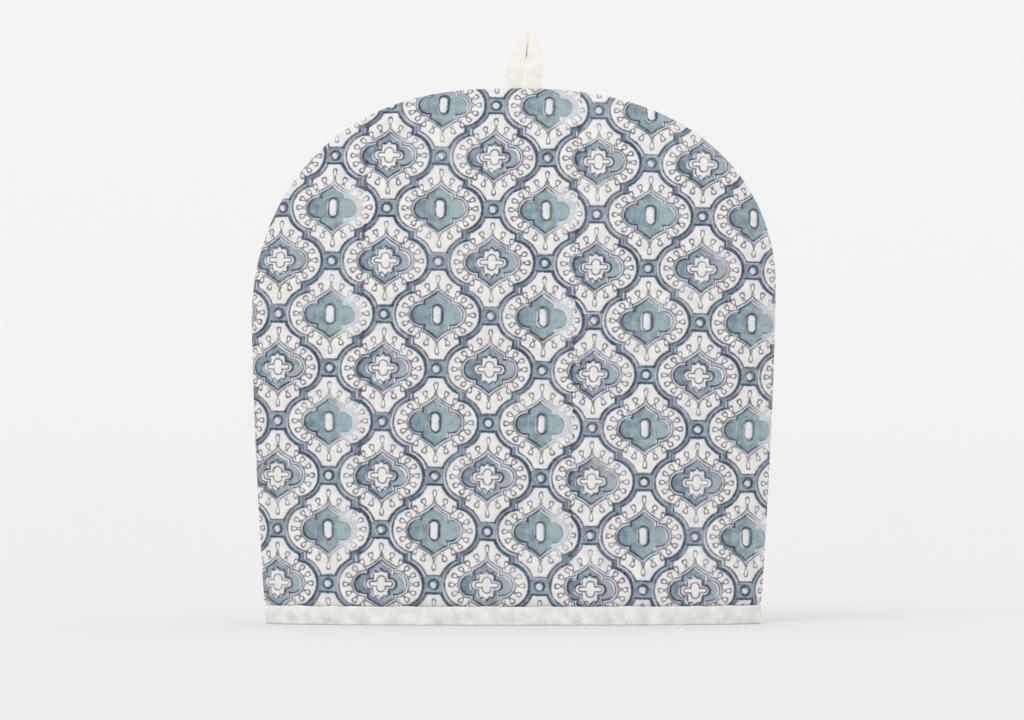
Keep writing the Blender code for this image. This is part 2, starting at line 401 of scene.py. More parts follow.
    def print_places(
        self,
        x: np.ndarray,
        z: np.ndarray,
        depth: np.ndarray,
        angle: np.ndarray,
        base_z: np.ndarray,
    ) -> np.ndarray:
        """Where each point lies on the printed cloth, in millimetres.

        The print is flat in the middle; towards the seam it follows part of the cloth's own length,
        so it isn't drawn out where the panel turns to the side.
        """
        far = np.hypot(x, z - base_z[:, None])
        steps = np.hypot(np.diff(far, axis=1), np.diff(depth, axis=1)) - np.abs(np.diff(far, axis=1))
        extra = np.concatenate([np.zeros((len(x), 1)), np.cumsum(steps[:, ::-1], axis=1)], axis=1)[:, ::-1]
        pushed = self.print_easing * extra
        place_x = -self.side.value * (x + pushed * np.cos(angle)[:, None]) + self.cut_shift[0]
        place_z = z + pushed * np.sin(angle)[:, None] + self.cut_shift[1]
        return np.stack([place_x, place_z], axis=-1) / MM


@dataclass
class HemBand:
    """The binding: one white strip folded up both faces of the panels, all round the mouth."""

    form: CosyForm
    fold: float = 1.1 * MM
    ease: float = 0.6 * MM
    inner_drop: float = 1.0 * MM
    lip: float = 0.45 * MM
    columns: int = 150
    leg_rows: int = 9
    fold_rows: int = 5
    tangent_step: float = 0.5 * MM
    ripple: float = 0.16 * MM
    ripple_lengths: tuple[float, ...] = (11.3 * MM, 17.9 * MM, 29.0 * MM)
    edge_sway: float = 0.22 * MM
    sway_lag: int = 7
    flat: tuple[float, float] = (0.61, 0.0295)

    def build(self) -> bpy.types.Mesh:
        """The band's closed mesh: a ring of folded cloth, flat where it rests."""
        outside, inside = self.profile()
        side, across = self.route()
        along = np.linspace(0, self.flat[0], len(across))
        outer = self.swept(outside, side, across, along, rippled=True)
        inner = self.swept(inside, side, across, along, rippled=False)
        place = np.stack([outer[..., 0], outer[..., 2]], axis=-1) / MM
        return sewn_shell("cosy_hem_band", outer, inner, place)

    def profile(self) -> tuple[np.ndarray, np.ndarray]:
        """Outer and inner face of the folded strip, as (inset, height) from inner to outer edge."""
        form = self.form
        across = 2 * form.band_cloth + 2 * form.gap + form.wall + self.ease
        cloth = form.band_cloth
        lip = self.lip
        fold = self.fold
        turns = np.linspace(0, math.pi / 2, self.fold_rows)
        leg = np.linspace(0, 1, self.leg_rows)
        top_in = form.band_height - self.inner_drop
        outside = [(across - lip, top_in), (across - lip / 4, top_in - lip / 2)]
        inside = [(across - cloth + lip, top_in), (across - cloth + lip / 4, top_in - lip / 2)]
        for share in leg[:-1]:
            outside.append((across, (top_in - lip) * (1 - share) + fold * share))
            inside.append((across - cloth, (top_in - lip) * (1 - share) + (cloth + lip) * share))
        for turn in turns:
            outside.append((across - fold * (1 - math.cos(turn)), fold * (1 - math.sin(turn))))
            inside.append((across - cloth - lip * (1 - math.cos(turn)), cloth + lip * (1 - math.sin(turn))))
        for share in (0.25, 0.5, 0.75):
            outside.append((across - fold - (across - 2 * fold) * share, 0))
            inside.append((across - cloth - lip - (across - 2 * cloth - 2 * lip) * share, cloth))
        for turn in turns:
            outside.append((fold * (1 - math.sin(turn)), fold * (1 - math.cos(turn))))
            inside.append((cloth + lip * (1 - math.sin(turn)), cloth + lip * (1 - math.cos(turn))))
        for share in leg[1:]:
            outside.append((0, fold * (1 - share) + (form.band_height - lip) * share))
            inside.append((cloth, (cloth + lip) * (1 - share) + (form.band_height - lip) * share))
        outside += [(lip / 4, form.band_height - lip / 2), (lip, form.band_height)]
        inside += [(cloth - lip / 4, form.band_height - lip / 2), (cloth - lip, form.band_height)]
        return np.array(outside), np.array(inside)

    def route(self) -> tuple[np.ndarray, np.ndarray]:
        """Round the mouth: which side each column is on, and how far across it lies, from -1 to 1."""
        places = -np.cos(math.pi * np.linspace(0, 1, self.columns + 1))
        front = np.full(len(places), Side.FRONT.value)
        side = np.concatenate([front, np.full(len(places), Side.BACK.value), front[:1]])
        return side, np.concatenate([places, places[::-1], places[:1]])

    def swept(
        self,
        profile: np.ndarray,
        side: np.ndarray,
        across: np.ndarray,
        along: np.ndarray,
        rippled: bool,
    ) -> np.ndarray:
        """Carry a profile round the mouth.

        Args:
            profile: (inset, height) points.
            side: sign of the depth at each column.
            across: how far across each column lies.
            along: length of strip used up at each column.
            rippled: whether the cloth's own small ripples are added.

        Returns:
            Points, columns of the route by points of the profile by 3.
        """
        form = self.form
        z = np.broadcast_to(profile[:, 1], (len(across), len(profile)))
        inset = np.broadcast_to(profile[:, 0], z.shape)
        height_share = np.clip(z / form.band_height, 0, 1)
        wave = sum(np.sin(2 * math.pi * along / length) for length in self.ripple_lengths)[:, None] / 2
        if rippled:
            inset = inset + self.ripple * wave * np.sin(math.pi * height_share) * np.where(inset < form.wall, 1, 0)
        x_edge = form.seam_distance(z, np.broadcast_to(np.where(across > 0, 0, math.pi)[:, None], z.shape))
        x = across[:, None] * x_edge
        y = form.band_depth(x, z)
        low = np.maximum(x - self.tangent_step, -form.seam_distance(z, np.full(z.shape, math.pi)))
        high = np.minimum(x + self.tangent_step, form.seam_distance(z, np.zeros(z.shape)))
        slope = (form.band_depth(high, z) - form.band_depth(low, z)) / (high - low)
        length = np.hypot(slope, 1)
        y = np.maximum(y - inset / length, form.band_cloth / 2)
        sway = self.edge_sway * np.roll(wave, self.sway_lag, axis=0) * height_share ** 3
        return np.stack([x + inset * slope / length, side[:, None] * y, z + sway], axis=-1)


@dataclass
class HangingLoop:
    """The white strap folded back on itself, both ends caught side by side in the seam."""

    form: CosyForm
    rise: float = 33 * MM
    root: float = 8 * MM
    cloth: float = 1.2 * MM
    half_width: float = 10.3 * MM
    slit: float = 0.5 * MM
    lean: float = 3.3 * MM
    point: float = 3.6
    point_round: float = 0.8
    crotch: float = 19 * MM
    crotch_round: float = 6.0
    bulge: float = 1.6 * MM
    bulge_rise: float = 12 * MM
    crown: float = 0.35
    fold: float = 2.4 * MM
    fold_reach: float = 0.1
    length_rows: int = 151
    width_columns: int = 19
    wrinkle: float = 0.14 * MM
    flat: tuple[float, float] = (0.0105, 0.098)

    def build(self) -> bpy.types.Mesh:
        """The loop's closed mesh."""
        along = np.linspace(-1, 1, self.length_rows)
        turn, across = np.meshgrid(along, np.linspace(0, 1, self.width_columns), indexing="ij")
        (inner_x, inner_z), (outer_x, outer_z) = self.edges(turn)
        x = inner_x + (outer_x - inner_x) * across
        z = inner_z + (outer_z - inner_z) * across
        above = np.clip(z / self.bulge_rise, 0, 1)
        forward = self.bulge * (1 - self.crown * (1 - np.sin(math.pi * across)))
        back = self.fold * bell(turn / self.fold_reach) * (1 - across / 2)
        y = -self.cloth / 2 - above * (forward - back)
        y = y - self.wrinkle * above * np.sin(9 * turn + 5 * across) * np.sin(math.pi * across)
        face = np.stack([x + self.form.loop_middle, y, z + self.form.height], axis=-1)
        normal = np.cross(np.gradient(face, axis=0), np.gradient(face, axis=1))
        normal /= np.linalg.norm(normal, axis=-1, keepdims=True)
        normal *= np.where(normal[..., 1:2] > 0, -1, 1)
        place = np.stack([face[..., 0], face[..., 2]], axis=-1) / MM
        return sewn_shell("cosy_hanging_loop", face, face - self.cloth * normal, place)

    def edges(self, turn: np.ndarray) -> tuple[tuple[np.ndarray, np.ndarray], tuple[np.ndarray, np.ndarray]]:
        """Inner and outer edge of the strap as (x, z) from the loop's foot; turn runs -1 to 1."""
        side = np.where(turn < 0, -1, 1)
        climb = 1 - np.abs(turn)
        outer_z = -self.root + (self.root + self.rise) * np.sin(math.pi / 2 * climb)
        share = np.maximum(outer_z, 0) / self.rise
        narrowing = np.maximum(1 - share ** self.point, 0) ** self.point_round
        outer_x = side * self.half_width * narrowing + self.lean * share ** 2
        inner_z = -self.root + (self.root + self.crotch) * climb
        slit = self.slit * (1 - climb ** self.crotch_round)
        inner_x = side * slit + self.lean * (climb * self.crotch / self.rise) ** 2
        return (inner_x, inner_z), (outer_x, outer_z)


class Value:
    """A number that varies over the cloth: one shader socket with the usual operators."""

    def __init__(self, bench: "Bench", socket: bpy.types.NodeSocket) -> None:
        """Keep the socket and the bench that its next node goes on."""
        self.bench = bench
        self.socket = socket

    def __add__(self, other: "Value | float") -> "Value":
        """Sum."""
        return self.bench.math("ADD", self, other)

    def __radd__(self, other: float) -> "Value":
        """Sum, a plain number first."""
        return self.bench.math("ADD", other, self)

    def __sub__(self, other: "Value | float") -> "Value":
        """Difference."""
        return self.bench.math("SUBTRACT", self, other)

    def __rsub__(self, other: float) -> "Value":
        """Difference, a plain number first."""
        return self.bench.math("SUBTRACT", other, self)

    def __mul__(self, other: "Value | float") -> "Value":
        """Product."""
        return self.bench.math("MULTIPLY", self, other)

    def __rmul__(self, other: float) -> "Value":
        """Product, a plain number first."""
        return self.bench.math("MULTIPLY", other, self)

    def __abs__(self) -> "Value":
        """Size without its sign."""
        return self.bench.math("ABSOLUTE", self)

    def least(self, other: "Value | float") -> "Value":
        """The smaller of two numbers."""
        return self.bench.math("MINIMUM", self, other)

    def most(self, other: "Value | float") -> "Value":
        """The larger of two numbers."""
        return self.bench.math("MAXIMUM", self, other)

    def to_and_fro(self, scale: float) -> "Value":
        """Counts up to the scale and back down again."""
        return self.bench.math("PINGPONG", self, scale)

    def held(self) -> "Value":
        """Kept between 0 and 1."""
        return self.bench.math("ADD", self, 0.0, use_clamp=True)


class Bench:
    """One material's node tree, and the few ways in which its nodes are made."""

    def __init__(self, name: str) -> None:
        """Start a material with a Principled shader on its output."""
        self.material = bpy.data.materials.new(name)
        self.material.use_nodes = True
        self.tree = self.material.node_tree
        self.shader = self.tree.nodes["Principled BSDF"]

    def node(self, kind: str, settings: dict[str, object] | None = None, **sockets: object) -> bpy.types.Node:
        """Add one node.

        Args:
            kind: the node's type.
            settings: its own settings, set before its sockets.
            sockets: values or links by socket name, spaces written as underscores.

        Returns:
            The node.
        """
        item = self.tree.nodes.new(kind)
        for key, value in (settings or {}).items():
            setattr(item, key, value)
        for key, value in sockets.items():
            self.feed(item.inputs[key.replace("_", " ")], value)
        return item

    def feed(self, socket: bpy.types.NodeSocket, value: object) -> None:
        """Link a value to a socket, or set the socket to a plain number or colour."""
        if isinstance(value, Value):
            value = value.socket
        if isinstance(value, bpy.types.NodeSocket):
            self.tree.links.new(value, socket)
        else:
            socket.default_value = value

    def math(self, operation: str, *values: "Value | float", use_clamp: bool = False) -> Value:
        """One Math node."""
        item = self.node("ShaderNodeMath", {"operation": operation, "use_clamp": use_clamp})
        for socket, value in zip(item.inputs, values):
            self.feed(socket, value)
        return Value(self, item.outputs[0])

    def length(self, x: Value, y: Value) -> Value:
        """Length of the vector (x, y)."""
        joined = self.node("ShaderNodeCombineXYZ", X=x, Y=y)
        item = self.node("ShaderNodeVectorMath", {"operation": "LENGTH"}, Vector=joined.outputs[0])
        return Value(self, item.outputs["Value"])

    def mix(self, share: Value, low: object, high: object) -> bpy.types.NodeSocket:
        """A colour between two, by a share."""
        item = self.node("ShaderNodeMix", {"data_type": "RGBA", "clamp_factor": True})
        for socket, value in ((item.inputs[0], share), (item.inputs[6], low), (item.inputs[7], high)):
            self.feed(socket, value)
        return item.outputs[2]

    def place(self) -> tuple[Value, Value, bpy.types.NodeSocket]:
        """Where a point lies on the printed cloth: across, up, and both as a vector."""
        item = self.node("ShaderNodeAttribute", {"attribute_type": "GEOMETRY", "attribute_name": PRINT_PLACE})
        parts = self.node("ShaderNodeSeparateXYZ", Vector=item.outputs["Vector"])
        return Value(self, parts.outputs[0]), Value(self, parts.outputs[1]), item.outputs["Vector"]

    def noise(self, vector: bpy.types.NodeSocket, size: float, detail: float = 2.0, shift: float = 0.0,
              stretch: tuple[float, float] = (1.0, 1.0)) -> bpy.types.Node:
        """A Noise texture on the cloth.

        Args:
            vector: the place on the cloth, in millimetres.
            size: about how large its patches are, in millimetres.
            detail: how much finer detail it holds.
            shift: moves it to another stretch of noise.
            stretch: how much longer its patches are across and up.

        Returns:
            The texture node.
        """
        scale = (1 / (size * stretch[0]), 1 / (size * stretch[1]), 1.0)
        item = self.node("ShaderNodeMapping", Vector=vector, Location=(shift, shift / 2, 0.0), Scale=scale)
        return self.node("ShaderNodeTexNoise", {"noise_dimensions": "2D"}, Vector=item.outputs[0], Scale=1.0,
                         Detail=detail)

    def drift(self, vector: bpy.types.NodeSocket, size: float, **kind: object) -> tuple[Value, Value]:
        """How far a place strays across and up, each within half a unit of nothing."""
        item = self.node("ShaderNodeSeparateXYZ", Vector=self.noise(vector, size, **kind).outputs["Color"])
        return Value(self, item.outputs[0]) - 0.5, Value(self, item.outputs[1]) - 0.5

    def patchy(
        self, vector: bpy.types.NodeSocket, size: float, low: float, high: float, **kind: object
    ) -> Value:
        """Noise spread out so that it runs from 0 at low to 1 at high."""
        grey = Value(self, self.noise(vector, size, **kind).outputs["Fac"])
        return ((grey - low) * (1 / (high - low))).held()

    def weave(self, vector: bpy.types.NodeSocket, thread: float) -> Value:
        """Height of a plain weave: short bright threads that run across and up."""
        across = self.noise(vector, thread, detail=1.0, stretch=(7.0, 1.0)).outputs["Fac"]
        up = self.noise(vector, thread, detail=1.0, shift=37.0, stretch=(1.0, 7.0)).outputs["Fac"]
        return Value(self, across).most(Value(self, up))

    def bump(self, height: Value, distance: float, strength: float) -> None:
        """Raise the surface by a height, under the shader's Normal."""
        item = self.node("ShaderNodeBump", Height=height, Distance=distance, Strength=strength)
        self.feed(self.shader.inputs["Normal"], item.outputs[0])


def covered(distance: Value, soft: float) -> Value:
    """1 inside an outline and 0 outside it, from the distance to the outline."""
    return (0.5 - distance * (1 / soft)).held()


@dataclass(frozen=True)
class Curl:
    """One small loop of the line block: its middle, the way it points, and its half-sizes."""

    x: float
    z: float
    heading: float
    along: float = 1.6
    across: float = 1.35


@dataclass(frozen=True)
class BlockPrint:
    """A two-block hand print in millimetres: a trellis round star cells and oval cells.

    One block prints the blue fills, the other the dark lines, and the two never meet quite true.
    Each block is two cells wide; where it was set down again the print steps and the ink doubles.
    """

    pitch_x: float = 59.65
    pitch_z: float = 60.6
    start: tuple[float, float] = (-13.55, 145.4)
    spread: tuple[float, float] = (1.016, 1.0088)
    lean: float = 0.0188
    tilt: float = 0.0168
    bow: tuple[float, float] = (0.0041, 0.0045)
    sag: tuple[float, float] = (0.0028, 0.0034)
    per: float = 100.0
    join: float = 47.0
    right_step: tuple[float, float] = (1.4, 1.6)
    left_step: tuple[float, float] = (0.5, 0.5)
    join_reach: float = 1.1
    fill_slip: tuple[float, float] = (0.95, 0.55)
    slip_spread: float = 1.3

    cell_lobe: float = 11.33
    cell_lobe_radius: float = 12.46
    cell_step: float = 13.0
    cell_gable_radius: float = 15.0
    cell_tip: float = 25.5

    medallion_lobe: float = 8.6
    medallion_lobe_radius: float = 5.8
    medallion_step: float = 7.25
    gable_middle: tuple[float, float] = (17.2, 30.57)
    gable_radius: float = 24.3
    halo: float = 1.55
    lobe_seam: float = 6.5

    star_arm: float = 5.84
    star_arm_half: float = 2.83
    star_body: float = 4.6
    star_top: float = 8.6
    star_slope: float = 0.45
    star_tooth: float = 1.7
    star_bite: float = 0.75
    cross_arm: float = 5.2
    cross_arm_half: float = 1.35
    cross_body: tuple[float, float] = (1.9, 2.5)
    slot_half: float = 2.3
    slot_straight: float = 2.7
    slot_rim: float = 0.5
    ring_radius: float = 2.6
    ring_hole: float = 2.0

    border_line: float = 0.58
    medallion_line: float = 0.42
    star_line: float = 0.48
    rim_line: float = 0.54
    fine_line: float = 0.4
    edge_soft: float = 0.65

    curls: tuple[Curl, ...] = (
        Curl(0.0, 20.0, 90.0, 2.3, 1.2),
        Curl(5.9, 15.7, 70.0),
        Curl(10.8, 11.8, 62.0),
        Curl(14.3, 8.5, 48.0),
        Curl(17.8, 4.9, 24.0),
        Curl(19.6, 0.0, 0.0),
    )

    def set_down(self, x: Value, z: Value) -> tuple[Value, Value]:
        """Place across and up the print, which leans, tilts and bows a little on the cloth."""
        up = z - self.start[1]
        bow = x * (self.bow[0] / self.per) + up * (self.bow[1] / self.per)
        sag = x * (self.sag[0] / self.per) + up * (self.sag[1] / self.per)
        line_x = x * (1 / self.spread[0]) - self.start[0] - up * (bow + self.lean)
        line_z = up * (sag + 1 / self.spread[1]) + x * self.tilt
        return line_x, line_z

    def cell(self, bench: Bench, x: Value, z: Value) -> Value:
        """Distance to a cell's border, negative inside: two round lobes and a gabled top and foot."""
        lobe = bench.length((x - self.cell_lobe).most(0.0), z) - self.cell_lobe_radius
        from_next = bench.length(x - (self.pitch_x / 2 - self.cell_lobe), z - self.pitch_z / 2)
        body = (x - self.cell_step).most(self.cell_gable_radius - from_next).most(z - self.cell_tip)
        return lobe.least(body)

    def medallion(self, bench: Bench, x: Value, z: Value) -> Value:
        """Distance to the medallion in a cell's middle, negative inside."""
        lobe = bench.length((x - self.medallion_lobe).most(0.0), z) - self.medallion_lobe_radius
        gable = self.gable_radius - bench.length(x - self.gable_middle[0], z - self.gable_middle[1])
        return lobe.least((x - self.medallion_step).most(gable))

    def star(self, bench: Bench, x: Value, z: Value) -> Value:
        """Distance to the white star of a star cell, negative inside."""
        arm = bench.length((x - self.star_arm).most(0.0), z) - self.star_arm_half
        top = self.star_top - x * self.star_slope - x.to_and_fro(self.star_tooth) * self.star_bite
        return arm.least((x - self.star_body).most(z - top))

    def cross(self, bench: Bench, x: Value, z: Value) -> Value:
        """Distance to the thin cross drawn inside the star."""
        straight, half = self.cross_body
        body = bench.length(x, (z - straight).most(0.0)) - half
        return body.least(bench.length((x - self.cross_arm).most(0.0), z) - self.cross_arm_half)

    def slot(self, bench: Bench, x: Value, z: Value) -> Value:
        """Distance to the white upright slot of an oval cell, negative inside."""
        return bench.length(x, (z - self.slot_straight).most(0.0)) - self.slot_half

    def ring(self, bench: Bench, x: Value, z: Value) -> Value:
        """Distance from the middle of the nearest small ring, where four cells meet."""
        beside = bench.length(self.pitch_x / 2 - x, z)
        return beside.least(bench.length(x, self.pitch_z / 2 - z))

    def curl_lines(self, bench: Bench, x: Value, z: Value) -> Value:
        """Distance to the nearest curl round the medallion, with its short stem."""
        here = bench.node("ShaderNodeCombineXYZ", X=x, Y=z).outputs[0]
        nearest = None
        for curl in self.curls:
            heading = math.radians(curl.heading)
            way = (math.cos(heading), math.sin(heading))
            along = self.reach(bench, here, curl, way, curl.along)
            across = self.reach(bench, here, curl, (-way[1], way[0]), curl.across)
            narrowing = 1.2 - along * 0.4
            loop = abs(bench.length(along, across * narrowing) - 1) * ((curl.along + curl.across) / 2)
            legs = abs(abs(across) + along * 0.75 + 0.75) * curl.across
            stem = legs.most(abs(along + 1.35) * curl.along - 0.4 * curl.along)
            nearest = loop.least(stem) if nearest is None else nearest.least(loop).least(stem)
        return nearest

    @staticmethod
    def reach(
        bench: Bench, here: bpy.types.NodeSocket, curl: Curl, way: tuple[float, float], half: float
    ) -> Value:
        """How far a place lies from a curl's middle one way, in units of its half-size."""
        step = (way[0] / half, way[1] / half, 0.0)
        item = bench.node("ShaderNodeVectorMath", {"operation": "DOT_PRODUCT"})
        bench.feed(item.inputs[0], here)
        bench.feed(item.inputs[1], step)
        return Value(bench, item.outputs["Value"]) - (curl.x * step[0] + curl.z * step[1])

    def folded(self, bench: Bench, x: Value, z: Value) -> tuple[Value, Value, Value, Value, Value]:
        """Fold the repeat onto one quarter of one cell.

        Args:
            bench: the material's bench.
            x: place across the print.
            z: place up the print.

        Returns:
            Distance to the star lattice's border, to the oval lattice's border, the share of star
            cell here, and the place across and up within a quarter of the cell.
        """
        star_x = x.to_and_fro(self.pitch_x / 2)
        star_z = z.to_and_fro(self.pitch_z / 2)
        oval_x = self.pitch_x / 2 - star_x
        oval_z = self.pitch_z / 2 - star_z
        star_edge = self.cell(bench, star_x, star_z)
        oval_edge = self.cell(bench, oval_x, oval_z)
        is_star = bench.math("LESS_THAN", star_edge, oval_edge)
        local_x = oval_x + (star_x - oval_x) * is_star
        local_z = oval_z + (star_z - oval_z) * is_star
        return star_edge, oval_edge, is_star, local_x, local_z


@dataclass(frozen=True)
class PrintedCotton:
    """Finish of the panels' outside: plain-weave cotton with the two-block print."""

    pattern: BlockPrint = BlockPrint()
    ground: tuple[float, ...] = srgb(240, 238, 232)
    ground_dull: tuple[float, ...] = srgb(222, 222, 221)
    lavender: tuple[float, ...] = srgb(208, 214, 225)
    trellis_ink: tuple[float, ...] = srgb(164, 176, 184)
    trellis_deep: tuple[float, ...] = srgb(108, 126, 141)
    oval_ink: tuple[float, ...] = srgb(162, 179, 184)
    oval_deep: tuple[float, ...] = srgb(108, 131, 143)
    line_ink: tuple[float, ...] = srgb(56, 70, 90)
    line_on_white: tuple[float, ...] = srgb(84, 84, 100)
    fine_ink: tuple[float, ...] = srgb(84, 78, 90)
    far: float = 9.0
    wander: float = 0.8
    ragged: float = 0.7
    rim_fade: float = 1.6
    lobe_lean: float = 17.0
    weak_middle: float = 112.0
    weak_reach: tuple[float, float] = (8.0, 12.0)
    thread: float = 0.7
    roughness: float = 0.92

    def material(self) -> bpy.types.Material:
        """The finished material."""
        bench = Bench("printed_cotton_cloth")
        pattern = self.pattern
        x, z, vector = bench.place()
        wander_x, wander_z = bench.drift(vector, 24.0, detail=1.0)
        fray_x, fray_z = bench.drift(vector, 1.5, shift=11.0)
        line_x, line_z = pattern.set_down(x, z)
        right = bench.math("GREATER_THAN", line_x + fray_x * 3.0, pattern.join)
        left = bench.math("LESS_THAN", line_x + fray_x * 3.0, pattern.join - 2 * pattern.pitch_x)
        from_join = (line_x - pattern.join).to_and_fro(pattern.pitch_x)
        weak = self.weak_places(bench, line_x, line_z)
        line_x = line_x + right * pattern.right_step[0] + left * pattern.left_step[0]
        line_z = line_z + right * pattern.right_step[1] + left * pattern.left_step[1]
        line_x = line_x + wander_x * self.wander + fray_x * self.ragged
        line_z = line_z + wander_z * self.wander + fray_z * self.ragged
        doubled = covered(from_join - pattern.join_reach, 1.2)

        fill, depth = self.inked_fills(bench, vector, line_x, line_z)
        colour = self.lines(bench, vector, fill, depth, line_x, line_z, weak, doubled)
        bench.feed(bench.shader.inputs["Base Color"], colour)
        bench.bump(bench.weave(vector, self.thread), 0.00022, 0.55)
        bench.shader.inputs["Roughness"].default_value = self.roughness
        bench.shader.inputs["Specular IOR Level"].default_value = 0.25
        bench.shader.inputs["Sheen Weight"].default_value = 0.12
        bench.shader.inputs["Sheen Roughness"].default_value = 0.5
        return bench.material

    def weak_places(self, bench: Bench, line_x: Value, line_z: Value) -> Value:
        """1 where the line block always prints faintly, beside its right edge in each row of ovals."""
        pattern = self.pattern
        in_block = bench.math("FLOORED_MODULO", line_x - pattern.join, 2 * pattern.pitch_x)
        up = (line_z - pattern.pitch_z / 2).to_and_fro(pattern.pitch_z / 2)
        across = (in_block - self.weak_middle) * (1 / self.weak_reach[0])
        return covered(bench.length(across, up * (1 / self.weak_reach[1])) - 1, 0.7)

    def inked_fills(
        self, bench: Bench, vector: bpy.types.NodeSocket, line_x: Value, line_z: Value
    ) -> tuple[bpy.types.NodeSocket, Value]:
        """The blue fills, slipped a little from where the lines will be.

        Args:
            bench: the material's bench.
            vector: the place on the cloth.
            line_x: place across the line block's print.
            line_z: place up the line block's print.

        Returns:
            The ground cloth with the fills on it, and how deep inside a fill each place lies.
        """
        pattern = self.pattern
        slip_x, slip_z = bench.drift(vector, 45.0, shift=77.0, detail=0.0)
        x = line_x + pattern.fill_slip[0] + slip_x * pattern.slip_spread
        z = line_z + pattern.fill_slip[1] + slip_z * pattern.slip_spread
        star_edge, oval_edge, is_star, cell_x, cell_z = pattern.folded(bench, x, z)
        is_oval = 1 - is_star
        holes = (pattern.star(bench, cell_x, cell_z) + is_oval * self.far).least(
            pattern.slot(bench, cell_x, cell_z) - 0.2 + is_star * self.far)
        in_medallion = holes.least(0.0 - pattern.medallion(bench, cell_x, cell_z))
        in_trellis = star_edge.least(oval_edge).least(pattern.ring(bench, cell_x, cell_z) - pattern.ring_hole)
        depth = in_medallion.most(in_trellis)

        rim = (1 - depth * (1 / self.rim_fade)).held()
        blotch = bench.patchy(vector, 5.0, 0.32, 0.68, shift=27.0, detail=3.0)
        grain = bench.patchy(vector, 0.9, 0.3, 0.7, shift=31.0, detail=1.0)
        seam = covered(abs(cell_x - pattern.lobe_seam) - 0.2, 0.7) * is_oval
        lean = self.lean_in_cell(bench, x)
        deep = (blotch * 0.6 + rim * 0.4 + grain * 0.25 + lean - seam * 0.6 - 0.08).held()
        trellis_ink = bench.mix(deep, self.trellis_ink, self.trellis_deep)
        oval_ink = bench.mix(deep, self.oval_ink, self.oval_deep)
        medal = bench.math("GREATER_THAN", in_medallion, in_trellis) * is_oval
        ink = bench.mix(medal, trellis_ink, oval_ink)
        dullness = bench.patchy(vector, 6.0, 0.3, 0.75, shift=63.0, detail=4.0)
        plain = bench.mix(dullness, self.ground, self.ground_dull)
        return bench.mix(covered(0.0 - depth, pattern.edge_soft), plain, ink), depth

    def lean_in_cell(self, bench: Bench, x: Value) -> Value:
        """Fills are laid on more heavily at the left of each cell than at its right."""
        half = self.pattern.pitch_x / 2
        place = bench.math("FLOORED_MODULO", x + half / 2, half)
        return (half / 2 - place) * (1 / self.lobe_lean) * 0.5

    def lines(
        self,
        bench: Bench,
        vector: bpy.types.NodeSocket,
        base: bpy.types.NodeSocket,
        depth: Value,
        line_x: Value,
        line_z: Value,
        weak: Value,
        doubled: Value,
    ) -> bpy.types.NodeSocket:
        """The dark line block over the fills.

        Args:
            bench: the material's bench.
            vector: the place on the cloth.
            base: the ground and fills under the lines.
            depth: how deep inside a fill each place lies.
            line_x: place across the line block's print.
            line_z: place up the line block's print.
            weak: 1 where the block always prints faintly.
            doubled: 1 where two settings of the block overlap.

        Returns:
            The cloth's colour.
        """
        pattern = self.pattern
        soft = pattern.edge_soft
        fade = bench.patchy(vector, 30.0, 0.3, 0.5, shift=5.0)
        worn = bench.patchy(vector, 3.2, 0.28, 0.62, shift=19.0, detail=3.0)
        swell = Value(bench, bench.noise(vector, 9.0, shift=41.0).outputs["Fac"]) - 0.5
        star_edge, oval_edge, is_star, x, z = pattern.folded(bench, line_x, line_z)
        is_oval = 1 - is_star
        medallion = pattern.medallion(bench, x, z)
        star = abs(pattern.star(bench, x, z)) + is_oval * self.far
        cross = abs(pattern.cross(bench, x, z)) + is_oval * self.far
        slot = abs(pattern.slot(bench, x, z) - pattern.slot_rim) + is_star * self.far
        ring = abs(pattern.ring(bench, x, z) - pattern.ring_radius)
        curls = pattern.curl_lines(bench, x, z)
        on_fill = covered(0.0 - depth, soft)

        band = covered(0.0 - star_edge.least(oval_edge), soft)
        between = covered(abs(medallion - pattern.halo / 2) - pattern.halo / 2, soft)
        near_fill = covered(-1.3 - depth, 2.0)
        tint = (between.most(band).most(near_fill * 0.6) * (1 - on_fill)).held()
        base = bench.mix(tint * 0.85, base, self.lavender)

        broad = (abs(star_edge).least(abs(oval_edge)) - pattern.border_line).least(
            abs(medallion) - pattern.medallion_line).least(star - pattern.star_line)
        broad = broad.least(slot.least(ring) - pattern.rim_line)
        broad = broad - swell * 0.6 - on_fill * 0.15 - doubled * 0.5 + weak * 0.25
        fine = abs(medallion - pattern.halo).least(curls).least(cross) - pattern.fine_line - swell * 0.3
        fine_mask = covered(fine, soft) * (0.66 + worn * 0.34) * (0.75 + fade * 0.25) * (1 - weak * 0.7)
        broad_mask = covered(broad, soft) * (0.7 + worn * 0.3) * (0.8 + fade * 0.2) * (1 - weak * 0.45)
        line_ink = bench.mix(on_fill, self.line_on_white, self.line_ink)
        drawn = bench.mix(fine_mask, base, self.fine_ink)
        return bench.mix(broad_mask, drawn, line_ink)


